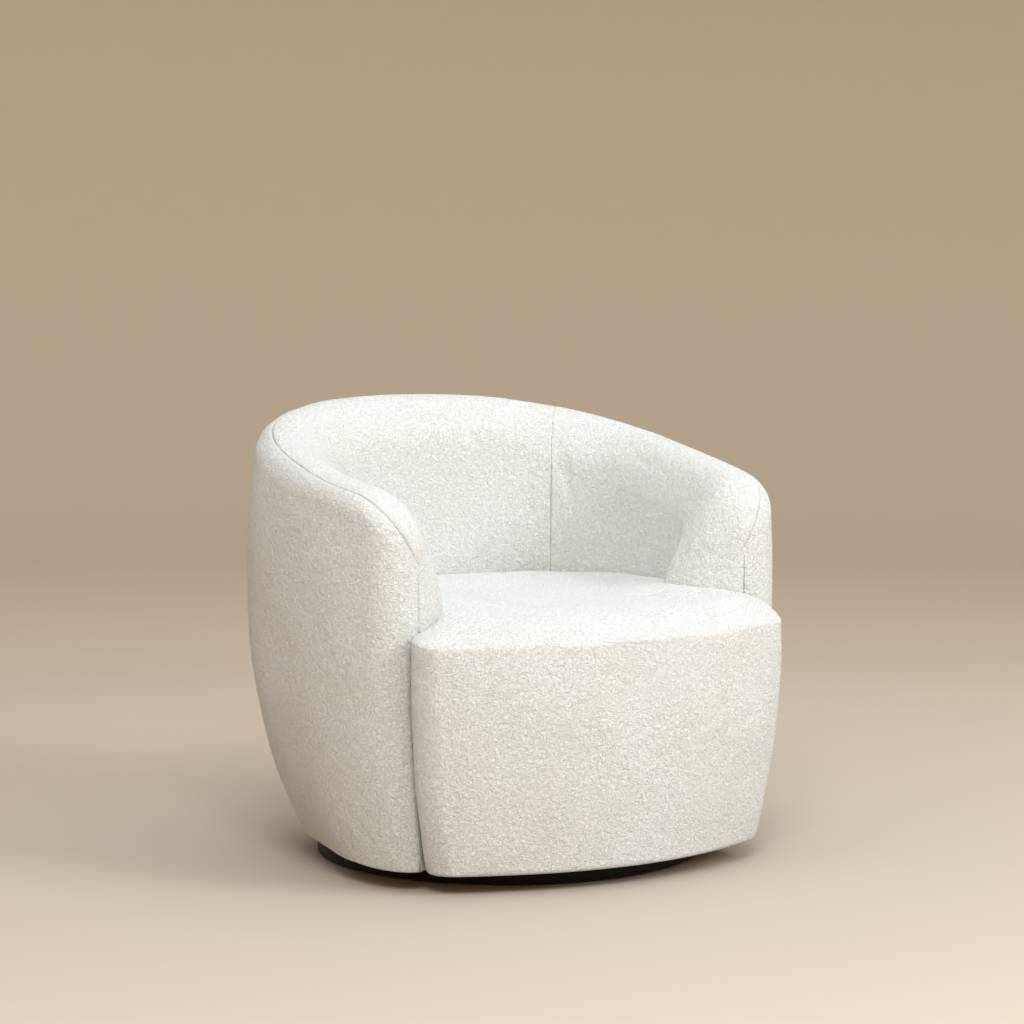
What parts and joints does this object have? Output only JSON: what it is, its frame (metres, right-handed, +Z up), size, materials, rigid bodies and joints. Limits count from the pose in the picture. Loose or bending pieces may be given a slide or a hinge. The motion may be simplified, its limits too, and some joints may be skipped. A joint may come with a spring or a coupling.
{
  "type": "swivel tub armchair",
  "caption": "Low round-backed swivel tub armchair in off-white looped-pile fabric, with a tight bowed seat and a black round plinth.",
  "frame": {"origin": "on the floor at the centre of the chair's box", "axes": "+Z up, the seat faces -Y, +X is the sitter's left"},
  "size_m": [0.8398, 0.7679, 0.7347],
  "materials": {
    "boucle_upholstery": "off-white looped boucle over foam",
    "black_plinth_paint": "satin black lacquer on plywood",
    "black_nylon": "moulded matt",
    "zinc_steel": "bright zinc plated",
    "spring_steel": "oil-tempered wire",
    "plywood": "unfinished birch plywood",
    "hardwood": "unfinished planed hardwood",
    "deck_cloth": "black non-woven cloth"
  },
  "bodies": {
    "base": {"plinth_ring": "black_plinth_paint", "plinth_deck": "black_plinth_paint", "glide_1": "black_nylon", "glide_2": "black_nylon", "glide_3": "black_nylon", "glide_4": "black_nylon", "glide_5": "black_nylon", "glide_6": "black_nylon", "swivel_lower_plate": "zinc_steel", "pivot_rivet": "zinc_steel", "deck_screw_1": "zinc_steel", "deck_screw_2": "zinc_steel", "deck_screw_3": "zinc_steel", "deck_screw_4": "zinc_steel"},
    "ball_race": {"ball_cage": "zinc_steel"},
    "chair": {"swivel_upper_plate": "zinc_steel", "frame_bolt_1": "zinc_steel", "frame_bolt_2": "zinc_steel", "frame_bolt_3": "zinc_steel", "frame_bolt_4": "zinc_steel", "base_board": "plywood", "rib_left_front": "plywood", "rib_left_middle": "plywood", "rib_left_rear": "plywood", "rib_right_front": "plywood", "rib_right_middle": "plywood", "rib_right_rear": "plywood", "rib_back_centre": "plywood", "left_top_rail": "hardwood", "back_top_rail": "hardwood", "right_top_rail": "hardwood", "left_seat_rail": "hardwood", "back_seat_rail": "hardwood", "right_seat_rail": "hardwood", "front_seat_rail": "hardwood", "corner_block_left": "hardwood", "corner_block_right": "hardwood", "front_board": "plywood", "seat_spring_1": "spring_steel", "seat_spring_2": "spring_steel", "seat_spring_3": "spring_steel", "seat_spring_4": "spring_steel", "front_clip_1": "zinc_steel", "front_clip_2": "zinc_steel", "front_clip_3": "zinc_steel", "front_clip_4": "zinc_steel", "rear_clip_1": "zinc_steel", "rear_clip_2": "zinc_steel", "rear_clip_3": "zinc_steel", "rear_clip_4": "zinc_steel", "seat_deck_cloth": "deck_cloth", "front_apron_panel": "boucle_upholstery", "seat_cushion": "boucle_upholstery", "outer_left_arm_panel": "boucle_upholstery", "inner_left_arm_pad": "boucle_upholstery", "outer_back_panel": "boucle_upholstery", "inner_back_pad": "boucle_upholstery", "outer_right_arm_panel": "boucle_upholstery", "inner_right_arm_pad": "boucle_upholstery"}
  },
  "joints": [
    {"name": "swivel", "type": "hinge", "parent": "base", "child": "chair", "pos_m": [0, 0, 0.029], "axis": [0, 0, 1], "continuous": true},
    {"name": "ball_race_turn", "type": "hinge", "parent": "base", "child": "ball_race", "pos_m": [0, 0, 0.029], "axis": [0, 0, 1], "continuous": true}
  ],
  "couplings": [
    {"joint": "ball_race_turn", "follows": "swivel", "ratio": 0.5}
  ]
}
